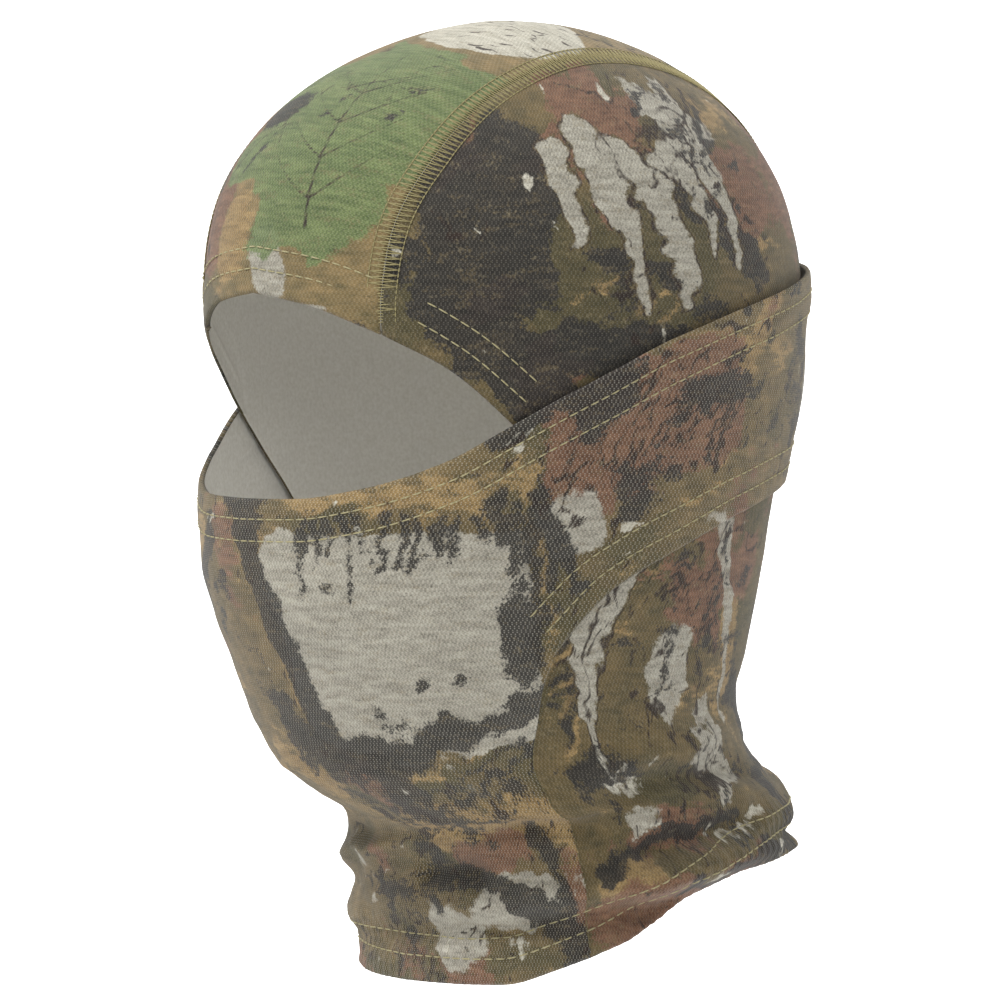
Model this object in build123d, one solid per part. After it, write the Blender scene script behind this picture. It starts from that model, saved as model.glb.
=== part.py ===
from build123d import *
import math
import os

# A pull-on camouflage face mask (hinged balaclava) for an adult head, in worn shape, in millimetres.
# Origin: centre of the head cavity at its widest level. +Z is up and the face looks towards -Y.

CLOTH = 0.8                 # thickness of one layer of knitted cloth
HOOD = -0.9                 # outer skin of the hood cloth, measured from the head form
COVER = 1.6                 # outer skin of the face cover, which lies over the hood
JAW_FLARE = 1.4             # how much further the cover stands off at the jaw corners
THREAD = 0.35               # height of stitching above the cloth
THREAD_GAP = 0.05
SEAM_WIDTH = 8.0            # flatlock seam, laid over both cloth edges
ROW_WIDTH = 0.9             # one row of hem stitches
GAP = 0.4                   # between two cloth edges that a seam joins
FRONT_GAP = 1.2             # the same, at the front seams
BROW_ROWS = (7.5, 14.0)     # hem rows, from the edge of the cloth
COVER_ROWS = (6.0, 12.5)
BOTTOM_ROWS = (8.0, 14.0)
DEGREE = 1.5                # length of one degree around the head, for hem and seam offsets

CROWN_TOP = 87.5            # top of the head form above the origin
SQUARE = 2.08               # section exponent: 2 is an ellipse, more is boxier
DOME, BROW_DOME = 2.2, 2.6  # how the dome closes over the back and over the forehead

# Head form by height: height, half width, centre, reach to the front, reach to the back
LEVELS = [
    (-222, 60.0, 27, 64.0, 66.0),
    (-200, 60.0, 27, 66.0, 66.0),
    (-180, 60.0, 27, 67.0, 68.0),
    (-165, 60.0, 26, 68.0, 69.0),
    (-154, 60.0, 24, 70.0, 69.0),
    (-147, 60.5, 20, 78.0, 67.0),
    (-138, 61.5, 14, 85.0, 65.0),
    (-125, 63.8, 7, 86.0, 69.0),
    (-110, 66.5, 2, 88.0, 79.0),
    (-95, 69.0, 0, 94.5, 85.0),
    (-80, 72.0, 0, 99.5, 87.5),
    (-65, 74.5, 0, 99.5, 89.5),
    (-50, 76.5, 0, 97.5, 94.0),
    (-35, 78.0, 0, 95.5, 98.0),
    (-18, 79.5, 0, 96.5, 100.5),
    (0, 80.5, 0, 98.0, 101.3),
]
COLUMNS = [[(row[0], row[k]) for row in LEVELS] for k in range(1, 5)]

# Cut lines of the cloth as (angle around the head, height): 0 is the face, 90 the ear, 180 the back
BROW = [(0, 3), (15, 0), (33, -9), (45, -19), (58, -35.5)]
FACE_HOLE = [(58, -35.5), (68, -50), (76, -66), (79, -80), (76, -92), (68.6, -104)]
FRONT_SEAM = [(68.6, -104), (65.8, -112), (62.5, -125), (57.5, -140), (55.5, -150), (56.5, -170),
              (58.5, -198)]
HEM = [(0, -207.5), (34, -206.5), (50, -201.5), (68, -194), (90, -182), (110, -175), (130, -172),
       (180, -171)]
COVER_TOP = [(0, -58.5), (15, -58), (30, -54.5), (45, -47), (58, -35.5), (66, -28.5),
             (73.5, -22.5), (90, -10), (110, 0), (147, 10), (180, 13)]
COVER_BOTTOM = [(0, -146), (30, -143), (50, -128), (62, -112), (68, -104.5), (82, -84), (98, -71),
                (110, -64.6), (140, -57), (180, -54)]
SEAM_BROW = 33              # angle where the crown seams meet the brow
# Half width of the crown strip, by angle up from the face and over the head
CROWN_HALF = [(-8, 43), (15, 45), (35, 47.5), (60, 46), (90, 42.5), (120, 39), (150, 31), (193, 5)]
CROWN_END = 193             # where the strip ends, low on the back of the head, under the band


def smooth(table, x):
    """A monotone cubic curve through the rows of a two column table."""
    xs, ys = zip(*table)
    x, n = min(max(x, xs[0]), xs[-1]), len(xs)
    step = [xs[i + 1] - xs[i] for i in range(n - 1)]
    rise = [(ys[i + 1] - ys[i]) / step[i] for i in range(n - 1)]
    slope = [rise[0]] + [0.0] * (n - 2) + [rise[-1]]
    for i in range(1, n - 1):
        if rise[i - 1] * rise[i] > 0:
            a, b = 2 * step[i] + step[i - 1], step[i] + 2 * step[i - 1]
            slope[i] = (a + b) / (a / rise[i - 1] + b / rise[i])
    i = max(k for k in range(n - 1) if xs[k] <= x)
    t, h = (x - xs[i]) / step[i], step[i]
    return ((1 + 2 * t) * (1 - t) ** 2 * ys[i] + t * (1 - t) ** 2 * h * slope[i]
            + t * t * (3 - 2 * t) * ys[i + 1] + t * t * (t - 1) * h * slope[i + 1])


def ease(start, end, x):
    t = min(max((x - start) / (end - start), 0), 1)
    return t * t * (3 - 2 * t)


def along(path, share):
    """The point at a share of the length of a path of (angle, height) points."""
    sizes = [math.hypot(DEGREE * (b[0] - a[0]), b[1] - a[1]) for a, b in zip(path, path[1:])]
    left = min(max(share, 0), 1) * sum(sizes)
    for a, b, size in zip(path, path[1:], sizes):
        if left <= size or (a, b) == (path[-2], path[-1]):
            t = left / size
            return (a[0] + (b[0] - a[0]) * t, a[1] + (b[1] - a[1]) * t)
        left -= size


def angle_at(path, height):
    """The angle at which a falling path of (angle, height) points reaches a height."""
    for a, b in zip(path, path[1:]):
        if b[1] <= height:
            t = min(max((a[1] - height) / (a[1] - b[1]), 0), 1)
            return a[0] + (b[0] - a[0]) * t
    return path[-1][0]


def curve(table, start, end, count=60):
    """A smooth path over a table of (angle, height), between two angles."""
    angles = [start + (end - start) * i / count for i in range(count + 1)]
    return [(a, smooth(table, abs(a))) for a in angles]


def rounded(points, count=60):
    """A smooth path through points that may double back in angle."""
    marks = [0.0]
    for a, b in zip(points, points[1:]):
        marks.append(marks[-1] + math.hypot(DEGREE * (b[0] - a[0]), b[1] - a[1]))
    angles = list(zip(marks, [p[0] for p in points]))
    heights = list(zip(marks, [p[1] for p in points]))
    return [(smooth(angles, marks[-1] * i / count), smooth(heights, marks[-1] * i / count))
            for i in range(count + 1)]


def beside(path, distance):
    """The path moved sideways over the cloth, to the left of its direction."""
    moved = []
    for i, (angle, height) in enumerate(path):
        a, b = path[max(i - 1, 0)], path[min(i + 1, len(path) - 1)]
        run, rise = DEGREE * (b[0] - a[0]), b[1] - a[1]
        size = math.hypot(run, rise)
        moved.append((angle - distance * rise / size / DEGREE, height + distance * run / size))
    return moved


def outside(x, y, z):
    """Below zero inside the head form, zero on it and above zero outside."""
    half, centre, front, back = (smooth(column, min(z, 0)) for column in COLUMNS)
    t = min(max(z, 0) / CROWN_TOP, 0.999)
    reach = back
    if y < centre:
        reach = front * max((1 - t ** BROW_DOME) ** 0.65 / (1 - t ** DOME) ** 0.5, 0.45)
    full = (1 - t ** DOME) ** (SQUARE / 2) - max(z / CROWN_TOP - 0.999, 0) * DOME
    return (abs(x) / half) ** SQUARE + (abs(y - centre) / reach) ** SQUARE - full


def lifted(x, y, z, lift):
    """The point moved out along the form's normal."""
    h = 0.05
    n = (outside(x + h, y, z) - outside(x - h, y, z), outside(x, y + h, z) - outside(x, y - h, z),
         outside(x, y, z + h) - outside(x, y, z - h))
    size = math.sqrt(sum(v * v for v in n))
    return tuple(p + lift * v / size for p, v in zip((x, y, z), n))


def around(angle, z, lift):
    """The point of the form at an angle around the head and a height."""
    half, centre, front, back = (smooth(column, min(z, 0)) for column in COLUMNS)
    t = max(z, 0) / CROWN_TOP
    side, face = math.sin(math.radians(angle)), math.cos(math.radians(angle))
    x = half * (1 - t ** DOME) ** 0.5 * math.copysign(abs(side) ** (2 / SQUARE), side)
    reach = back * (1 - t ** DOME) ** 0.5 if face < 0 else -front * (1 - t ** BROW_DOME) ** 0.65
    return lifted(x, centre + reach * abs(face) ** (2 / SQUARE), z, lift)


def over(x, angle, lift):
    """The point of the form in the plane at x, at an angle up from the face and over the head."""
    dy, dz = -math.cos(math.radians(angle)), math.sin(math.radians(angle))
    near, far = 0.0, 160.0
    for _ in range(36):
        mid = (near + far) / 2
        near, far = (mid, far) if outside(x, mid * dy, mid * dz) < 0 else (near, mid)
    return lifted(x, near * dy, near * dz, lift)


def cover_lift(angle, height):
    """The face cover lies close, and stands off the neck at the corners of the jaw."""
    return COVER + JAW_FLARE * ease(-85, -110, height) * (1 - ease(66, 84, abs(angle)))


def cloth(place, rows, columns, top=0.0, thickness=CLOTH):
    """A closed solid of cloth; place(u, v, lift) gives a point of its skin, u and v from 0 to 1."""
    grids = [[[place(u / columns, v / rows, lift) for u in range(columns + 1)]
              for v in range(rows + 1)] for lift in (top, top - thickness)]
    skins = [[Edge.make_spline([Vector(*point) for point in row]) for row in grid] for grid in grids]
    pairs = [pair for skin in skins for pair in zip(skin, skin[1:])]
    pairs += [(skins[0][0], skins[1][0]), (skins[0][-1], skins[1][-1])]
    for end in (0, -1):
        outer, inner = ([Vector(*row[end]) for row in grid] for grid in grids)
        pairs += [(Edge.make_line(*outer[i:i + 2]), Edge.make_line(*inner[i:i + 2]))
                  for i in range(rows)]
    return Solid(Shell([Face.make_surface_from_curves(*pair) for pair in pairs]))


def tape(path, width, top, thickness=THREAD, steps=30, lift_at=None):
    """A flat run of stitching, laid on the cloth along a path of (angle, height)."""
    edges = [beside(path, width * k / 2) for k in (-1, 0, 1)]

    def place(u, v, lift):
        angle, height = along(edges[round(2 * v)], u)
        rest = lift_at(angle, height) if lift_at else 0.0
        return around(angle, height, rest + lift)

    return cloth(place, 2, steps, top, thickness)


def mirrored(shape):
    return mirror(shape, about=Plane.YZ)


def seam_start():
    """The angle over the head at which the crown seam leaves the brow."""
    x, y, z = around(SEAM_BROW, smooth(BROW, SEAM_BROW), 0)
    return math.degrees(math.atan2(z, -y))


def crown():
    def place(u, v, lift):
        s = 2 * u - 1
        x, y, z = around(SEAM_BROW * s, smooth(BROW, abs(SEAM_BROW * s)), 0)
        start = math.degrees(math.atan2(z, -y))
        angle = start + (CROWN_END - start) * v
        return over(s * (smooth(CROWN_HALF, angle) - GAP / 2), angle, lift)

    return cloth(place, 24, 10, HOOD)


def seam_line(offset, count=60):
    """The crown seam's path as (angle around, height), moved outward by an offset."""
    path, start = [], seam_start()
    for i in range(count + 1):
        turn = start + (CROWN_END - start) * i / count
        x, y, z = over(smooth(CROWN_HALF, turn) + offset, turn, 0)
        half, centre, front, back = (smooth(column, min(z, 0)) for column in COLUMNS)
        t = max(z, 0) / CROWN_TOP
        side = (x / (half * (1 - t ** DOME) ** 0.5)) ** (SQUARE / 2)
        reach = back * (1 - t ** DOME) ** 0.5 if y > centre else front * (1 - t ** BROW_DOME) ** 0.65
        path.append((math.degrees(math.atan2(side, math.copysign(
            (abs(y - centre) / reach) ** (SQUARE / 2), centre - y))), z))
    return path


def side_panel():
    """The hood's left side: crown seam, brow and face opening, front seam, hem, back seam."""
    top = seam_line(GAP / 2)
    front = rounded([top[0]] + BROW[3:] + FACE_HOLE[1:] + FRONT_SEAM[1:] + [(58.8, -198.5)])
    low = front[-1]
    hem = [low] + curve(HEM, low[0] + 3, 179.8)
    back = [top[-1], (179.8, -60), hem[-1]]

    def place(u, v, lift):
        a, b = along(top, u), along(hem, u)
        c, d = along(front, v), along(back, v)
        corners = (top[0], top[-1], hem[0], hem[-1])
        point = [(1 - v) * a[k] + v * b[k] + (1 - u) * c[k] + u * d[k]
                 - (1 - u) * (1 - v) * corners[0][k] - u * (1 - v) * corners[1][k]
                 - (1 - u) * v * corners[2][k] - u * v * corners[3][k] for k in (0, 1)]
        return around(point[0], point[1], lift)

    return cloth(place, 18, 24, HOOD)


def face_cover():
    def place(u, v, lift):
        angle = 179.8 * (2 * u - 1)
        top, low = smooth(COVER_TOP, abs(angle)), smooth(COVER_BOTTOM, abs(angle))
        height = top + (low - top) * v
        return around(angle, height, cover_lift(angle, height) + lift)

    return cloth(place, 9, 56)


def front_neck():
    """The lower front, from under the chin to the hem, between the two front seams."""
    seam = rounded(FRONT_SEAM)

    def place(u, v, lift):
        s = 2 * u - 1
        reach = angle_at(seam, smooth(COVER_BOTTOM, 67.8) - 1.1) - FRONT_GAP / DEGREE
        first, last = smooth(COVER_BOTTOM, reach) - 1.1, smooth(HEM, 58.5)
        edge = angle_at(seam, first + (last - first) * v)
        angle = s * (edge - FRONT_GAP / DEGREE)
        top = smooth(COVER_BOTTOM, abs(s) * reach) - 1.1
        low = smooth(HEM, abs(s) * 58.5)
        height = top + (low - top) * v
        rest = HOOD + (cover_lift(angle, height) - HOOD) * (1 - ease(0, 0.35, v)) * 0.9
        return around(angle, height, rest + lift)

    return cloth(place, 9, 20)


def crown_seam():
    edges = [seam_line(k * SEAM_WIDTH / 2) for k in (-1, 0, 1)]
    stop = max(i for i, p in enumerate(edges[1]) if p[1] > 17) / (len(edges[1]) - 1)

    def place(u, v, lift):
        turn = seam_start() + 1 + (CROWN_END - seam_start()) * stop * u
        x = smooth(CROWN_HALF, turn) + (v - 0.5) * SEAM_WIDTH
        return over(x, turn, lift)

    return cloth(place, 2, 32, HOOD + THREAD_GAP + THREAD, THREAD)


def rows(table, start, end, insets, top, lift_at=None, upward=1):
    """Two rows of hem stitching beside a cut edge, between two angles."""
    edge = curve(table, start, end)
    return [tape(beside(edge, upward * inset), ROW_WIDTH, top, lift_at=lift_at) for inset in insets]


def hood_rows(table, start, end, insets, upward=1):
    return rows(table, start, end, insets, HOOD + THREAD_GAP + THREAD, upward=upward)


def cover_rows(table, start, end, insets, upward):
    return rows(table, start, end, insets, THREAD_GAP + THREAD, cover_lift, upward)


def parts():
    side, seam = side_panel(), crown_seam()
    top = HOOD + THREAD_GAP + THREAD
    brow_side = rows(BROW, SEAM_BROW + 4, 57, BROW_ROWS, top + 0.1)
    band_low = cover_rows(COVER_BOTTOM, 70, 175.5, COVER_ROWS, 1)
    front_seam = tape(rounded(FRONT_SEAM)[6:-4], SEAM_WIDTH * 0.5, top + COVER - HOOD + 0.6)
    back_seam = tape([(180, h) for h in range(-163, -60, 2)], SEAM_WIDTH, top + 0.75)
    band_seam = tape([(180, h) for h in range(-50, 11, 2)], SEAM_WIDTH, THREAD_GAP + THREAD,
                     lift_at=cover_lift)
    return {
        "crown_panel": [crown()],
        "left_side_panel": [side],
        "right_side_panel": [mirrored(side)],
        "face_cover": [face_cover()],
        "front_neck_panel": [front_neck()],
        "left_crown_seam": [seam],
        "right_crown_seam": [mirrored(seam)],
        "brow_hem_stitching": hood_rows(BROW, -SEAM_BROW + 9, SEAM_BROW - 9, BROW_ROWS),
        "left_brow_hem_stitching": brow_side,
        "right_brow_hem_stitching": [mirrored(s) for s in brow_side],
        "cover_top_hem_stitching": cover_rows(COVER_TOP, -175.5, 175.5, COVER_ROWS, -1),
        "left_band_hem_stitching": band_low,
        "right_band_hem_stitching": [mirrored(s) for s in band_low],
        "left_front_seam": [front_seam],
        "right_front_seam": [mirrored(front_seam)],
        "bottom_hem_stitching": hood_rows(HEM, -176, 176, BOTTOM_ROWS),
        "neck_back_seam": [back_seam],
        "band_back_seam": [band_seam],
    }


os.makedirs("parts", exist_ok=True)
for name, solids in parts().items():
    shape = solids[0] if len(solids) == 1 else Compound(children=solids)
    export_step(shape, f"parts/{name}.step")
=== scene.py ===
import bpy
import numpy as np
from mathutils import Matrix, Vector


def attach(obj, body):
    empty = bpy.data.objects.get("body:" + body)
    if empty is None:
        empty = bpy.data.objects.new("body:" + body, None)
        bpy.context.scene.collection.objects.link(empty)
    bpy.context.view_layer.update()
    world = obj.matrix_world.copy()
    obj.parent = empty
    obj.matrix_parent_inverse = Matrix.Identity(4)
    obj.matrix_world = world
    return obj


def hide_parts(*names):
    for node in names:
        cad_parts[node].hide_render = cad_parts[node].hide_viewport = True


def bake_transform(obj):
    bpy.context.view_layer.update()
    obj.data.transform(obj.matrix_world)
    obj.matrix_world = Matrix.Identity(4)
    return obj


# The looks of the camo face mask. Shapes are worked out in millimetres and turned into metres at the end.

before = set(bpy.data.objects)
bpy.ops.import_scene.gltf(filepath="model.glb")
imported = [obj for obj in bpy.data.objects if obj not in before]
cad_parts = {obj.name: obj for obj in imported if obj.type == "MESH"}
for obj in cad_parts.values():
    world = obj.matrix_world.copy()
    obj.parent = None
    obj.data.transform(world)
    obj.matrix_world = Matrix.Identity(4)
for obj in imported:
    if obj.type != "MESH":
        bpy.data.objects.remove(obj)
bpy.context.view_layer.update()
MM = 0.001
CELL = 1.05      # spacing of the cloth mesh

HOOD, COVER, JAW_FLARE = -0.9, 1.6, 1.4   # how far the outer skins stand off the head form
SQUARE, DOME, BROW_DOME, CROWN_TOP = 2.08, 2.2, 2.6, 87.5
DEGREE, CROWN_DEGREE = 1.5, 1.65   # length of one degree around the head, and over it
CLOTH, HEM_CLOTH = 0.8, 1.5        # thickness of one layer, and of a folded hem
HOOD_HEM, COVER_HEM = 15, 13.5     # depth of the folded hems
BROW_ROWS, COVER_ROWS, BOTTOM_ROWS = (7.5, 14.0), (6.0, 12.5), (8.0, 14.0)   # stitch rows in them
THREAD, CROWN_THREAD, FRONT_THREAD = 0.24, 0.21, 0.15                        # radius of each thread
FRONT_EDGE, FRONT_HEM = 68.0, 58.5  # angle of the front seams at the jaw, and at the hem

# Head form: height, half width, centre, reach to the front, reach to the back
LEVELS = np.array([
    (-222, 60.0, 27, 64.0, 66.0), (-200, 60.0, 27, 66.0, 66.0), (-180, 60.0, 27, 67.0, 68.0),
    (-165, 60.0, 26, 68.0, 69.0), (-154, 60.0, 24, 70.0, 69.0), (-147, 60.5, 20, 78.0, 67.0),
    (-138, 61.5, 14, 85.0, 65.0), (-125, 63.8, 7, 86.0, 69.0), (-110, 66.5, 2, 88.0, 79.0),
    (-95, 69.0, 0, 94.5, 85.0), (-80, 72.0, 0, 99.5, 87.5), (-65, 74.5, 0, 99.5, 89.5),
    (-50, 76.5, 0, 97.5, 94.0), (-35, 78.0, 0, 95.5, 98.0), (-18, 79.5, 0, 96.5, 100.5),
    (0, 80.5, 0, 98.0, 101.3)])
# Cut lines of the cloth as (angle around the head, height): 0 is the face, 90 the ear, 180 the back
BROW = [(0, 3), (15, 0), (33, -9), (45, -19), (58, -35.5)]
FACE_HOLE = [(58, -35.5), (68, -50), (76, -66), (79, -80), (76, -92), (68.6, -104)]
FRONT_SEAM = [(68.6, -104), (65.8, -112), (62.5, -125), (57.5, -140), (55.5, -150), (56.5, -170),
              (58.5, -198.4)]
HEM = [(0, -207.5), (34, -206.5), (50, -201.5), (68, -194), (90, -182), (110, -175), (130, -172),
       (180, -171)]
COVER_TOP = [(0, -58.5), (15, -58), (30, -54.5), (45, -47), (58, -35.5), (66, -28.5),
             (73.5, -22.5), (90, -10), (110, 0), (147, 10), (180, 13)]
COVER_BOTTOM = [(0, -146), (30, -143), (50, -128), (62, -112), (68, -104.5), (82, -84), (98, -71),
                (110, -64.6), (140, -57), (180, -54)]
# Half width of the crown strip, by angle up from the face and over the head
CROWN_HALF = [(-8, 43), (15, 45), (35, 47.5), (60, 46), (90, 42.5), (120, 39), (150, 31), (193, 5)]
SEAM_BROW, CROWN_END = 33, 193    # where the crown seams meet the brow, and where the strip ends


# ---------------------------------------------------------------- head form

def smooth(table, x):
    """A monotone cubic curve through the rows of a two column table."""
    xs, ys = np.array(table, float).T
    h = np.diff(xs)
    rise = np.diff(ys) / h
    slope = np.r_[rise[0], np.zeros(len(xs) - 2), rise[-1]]
    a, b = 2 * h[1:] + h[:-1], h[1:] + 2 * h[:-1]
    same = rise[:-1] * rise[1:] > 0
    with np.errstate(divide="ignore", invalid="ignore"):
        mean = (a + b) / (a / rise[:-1] + b / rise[1:])
    slope[1:-1] = np.where(same, mean, 0)
    x = np.clip(x, xs[0], xs[-1])
    i = np.clip(np.searchsorted(xs, x, side="right") - 1, 0, len(h) - 1)
    t, w = (x - xs[i]) / h[i], h[i]
    return ((1 + 2 * t) * (1 - t) ** 2 * ys[i] + t * (1 - t) ** 2 * w * slope[i]
            + t * t * (3 - 2 * t) * ys[i + 1] + t * t * (t - 1) * w * slope[i + 1])


def ease(start, end, x):
    t = np.clip((x - start) / (end - start), 0, 1)
    return t * t * (3 - 2 * t)


def level(z):
    """The form's measures at a height."""
    low = np.minimum(z, 0)
    return [smooth(LEVELS[:, (0, k)], low) for k in range(1, 5)]


def outside(x, y, z):
    """Below zero inside the head form, zero on it and above zero outside."""
    half, centre, front, back = level(z)
    t = np.minimum(np.maximum(z, 0) / CROWN_TOP, 0.999)
    brow = front * np.maximum((1 - t ** BROW_DOME) ** 0.65 / (1 - t ** DOME) ** 0.5, 0.45)
    reach = np.where(y < centre, brow, back)
    full = (1 - t ** DOME) ** (SQUARE / 2) - np.maximum(z / CROWN_TOP - 0.999, 0) * DOME
    return (np.abs(x) / half) ** SQUARE + (np.abs(y - centre) / reach) ** SQUARE - full


def lifted(x, y, z, lift):
    """The points moved out along the form's normal."""
    h = 0.05
    n = np.stack([outside(x + h, y, z) - outside(x - h, y, z),
                  outside(x, y + h, z) - outside(x, y - h, z),
                  outside(x, y, z + h) - outside(x, y, z - h)], -1)
    n /= np.linalg.norm(n, axis=-1, keepdims=True)
    return np.stack([x, y, z], -1) + np.asarray(lift)[..., None] * n


def around(angle, z, lift):
    """The points of the form at an angle around the head and a height."""
    angle, z = np.broadcast_arrays(np.asarray(angle, float), np.asarray(z, float))
    half, centre, front, back = level(z)
    t = np.maximum(z, 0) / CROWN_TOP
    side, face = np.sin(np.radians(angle)), np.cos(np.radians(angle))
    x = half * (1 - t ** DOME) ** 0.5 * np.sign(side) * np.abs(side) ** (2 / SQUARE)
    reach = np.where(face < 0, back * (1 - t ** DOME) ** 0.5, -front * (1 - t ** BROW_DOME) ** 0.65)
    return lifted(x, centre + reach * np.abs(face) ** (2 / SQUARE), z, lift)


def over(x, turn, lift):
    """The points of the form in the plane at x, at an angle up from the face and over the head."""
    x, turn = np.broadcast_arrays(np.asarray(x, float), np.asarray(turn, float))
    dy, dz = -np.cos(np.radians(turn)), np.sin(np.radians(turn))
    near, far = np.zeros_like(x), np.full_like(x, 160.0)
    for _ in range(34):
        mid = (near + far) / 2
        inside = outside(x, mid * dy, mid * dz) < 0
        near, far = np.where(inside, mid, near), np.where(inside, far, mid)
    return lifted(x, near * dy, near * dz, lift)


def to_form(p):
    """(angle around, height) of points on the form."""
    x, y, z = p[..., 0], p[..., 1], p[..., 2]
    half, centre, front, back = level(z)
    t = np.clip(np.maximum(z, 0) / CROWN_TOP, 0, 0.9999)
    side = (np.abs(x) / (half * (1 - t ** DOME) ** 0.5)) ** (SQUARE / 2)
    reach = np.where(y > centre, back * (1 - t ** DOME) ** 0.5, front * (1 - t ** BROW_DOME) ** 0.65)
    face = np.sign(centre - y) * (np.abs(y - centre) / reach) ** (SQUARE / 2)
    return np.degrees(np.arctan2(side, face)) * np.sign(x + 1e-9), z


def cover_lift(angle, z):
    return COVER + JAW_FLARE * ease(-85, -110, z) * (1 - ease(66, 84, np.abs(angle)))


# ---------------------------------------------------------------- noise and folds

LATTICE = np.random.default_rng(7).random((256, 256))


def noise(x, y, scale, seed=0):
    """Value noise from -1 to 1; scale is the size of a lump, in mm."""
    x, y = np.asarray(x) / scale + 37.3 * seed + 500, np.asarray(y) / scale + 11.7 * seed + 500
    i, j = np.floor(x).astype(int), np.floor(y).astype(int)
    u, v = x - i, y - j
    u, v = u * u * (3 - 2 * u), v * v * (3 - 2 * v)
    a, b = LATTICE[i % 256, j % 256], LATTICE[(i + 1) % 256, j % 256]
    c, d = LATTICE[i % 256, (j + 1) % 256], LATTICE[(i + 1) % 256, (j + 1) % 256]
    return 2 * ((a * (1 - u) + b * u) * (1 - v) + (c * (1 - u) + d * u) * v) - 1


def fbm(x, y, scale, seed=0, octaves=4):
    total, size = 0, 1.0
    for k in range(octaves):
        total = total + size * noise(x, y, scale / 2 ** k, seed + 5 * k)
        size *= 0.55
    return total / 1.9


# Each fold of the neck: angle and height of both ends, height of the roll, its width, and bow
FOLDS = [
    (-60, -178, 78, -150, 3.8, 6.5, 4), (-30, -166, 60, -158, -3.2, 4.0, 2),
    (60, -176, 180, -146, 4.6, 7.0, -5), (62, -186, 150, -163, -3.4, 4.5, -4),
    (20, -186, 100, -176, 3.0, 5.5, 2), (66, -150, 128, -147, -3.0, 4.0, 3),
    (64, -141, 165, -133, 2.4, 6.0, 4), (100, -128, 180, -120, -2.6, 5.0, 5),
    (110, -158, 180, -161, 4.2, 6.0, -2), (-20, -196, 55, -190, -2.0, 4.0, 2),
    (8, -176, 30, -172, -3.0, 3.5, 1), (70, -167, 120, -156, -3.2, 3.2, -2),
    (-180, -148, -70, -172, 4.4, 6.5, -5), (-160, -162, -60, -184, -3.2, 4.5, -3),
    (-150, -134, -66, -146, 2.6, 6.0, 4), (-128, -120, -70, -150, -2.4, 4.5, 2),
    (-100, -182, -20, -192, 2.6, 5.5, 2),
]


def folds(angle, z):
    """How far the loose neck cloth stands off the form, in mm."""
    total = np.zeros(np.broadcast(angle, z).shape)
    for a0, z0, a1, z1, height, width, bow in FOLDS:
        share = (angle - a0) / (a1 - a0)
        middle = z0 + (z1 - z0) * share + bow * 4 * share * (1 - share)
        middle = middle + 1.6 * noise(angle * 1.5, z * 0 + z0, 16, 3)
        fade = ease(-0.12, 0.18, share) * (1 - ease(0.82, 1.12, share))
        d = (z - middle) / width
        d = np.where(d < 0, d * 1.35, d * 0.85)
        total = total + height * fade * np.exp(-d * d)
    loose = ease(-104, -150, z)
    total = 1.45 * total * loose * (1 - 0.6 * ease(98, 126, np.abs(angle)))
    total = total + loose * 1.3 * fbm(angle * 0.5, z * 1.6, 12, 9, 3)
    flare = 6.5 * ease(95, 128, angle) * (1 - ease(150, 182, angle)) * ease(-164, -173, z)
    return total + flare + 1.5 * loose


def soft_wrinkles(angle, z, size):
    return size * fbm(angle * 1.1 + z * 0.7, z * 1.2 - angle * 0.5, 26, 4, 3)


# ---------------------------------------------------------------- print shapes
# Each gives the distance in mm from a shape's edge, below zero inside it.

def place(x, y, cx, cy, turn):
    c, s = np.cos(np.radians(turn)), np.sin(np.radians(turn))
    dx, dy = x - cx, y - cy
    return dx * c + dy * s, -dx * s + dy * c


def blob(x, y, cx, cy, rx, ry, turn=0):
    """An ellipse."""
    u, v = place(x, y, cx, cy, turn)
    return (np.sqrt((u / rx) ** 2 + (v / ry) ** 2) - 1) * min(rx, ry)


def leaf(x, y, cx, cy, size, turn=0, lobes=5, depth=0.42):
    """A lobed tree leaf, pointing along its turn."""
    u, v = place(x, y, cx, cy, turn)
    r, a = np.hypot(u, v), np.arctan2(v, u)
    edge = size * (1 - depth * (0.5 - 0.5 * np.cos(lobes * a)) ** 0.7) * (0.82 + 0.18 * np.cos(a))
    return (r - edge * (1 + 0.06 * np.sin(17 * a))) * 0.8


def stroke(x, y, x0, y0, x1, y1, w0, w1=None, bow=0.0):
    """A tapered, bowed stroke."""
    w1 = w0 if w1 is None else w1
    dx, dy = x1 - x0, y1 - y0
    size = np.hypot(dx, dy)
    t = ((x - x0) * dx + (y - y0) * dy) / size ** 2
    side = ((y - y0) * dx - (x - x0) * dy) / size - bow * 4 * t * (1 - t)
    past = np.maximum(np.maximum(-t, t - 1), 0) * size
    return np.hypot(side, past) - (w0 + (w1 - w0) * np.clip(t, 0, 1)) / 2


def veins(x, y, cx, cy, size, turn, count=5, width=0.9):
    """Midrib and side veins of a leaf."""
    middle = np.array([cx, cy])
    ahead = np.array([np.cos(np.radians(turn)), np.sin(np.radians(turn))])
    d = stroke(x, y, *(middle - 0.9 * size * ahead), *(middle + 0.85 * size * ahead),
               width * 1.5, width * 0.6)
    for k in range(count):
        bx, by = middle + (-0.7 + 1.25 * k / count) * size * ahead
        for side in (-1, 1):
            a = np.radians(turn + side * 48)
            tip = bx + 0.62 * size * np.cos(a), by + 0.62 * size * np.sin(a)
            d = np.minimum(d, stroke(x, y, bx, by, *tip, width, width * 0.4, side * 1.2))
    return d


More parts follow.
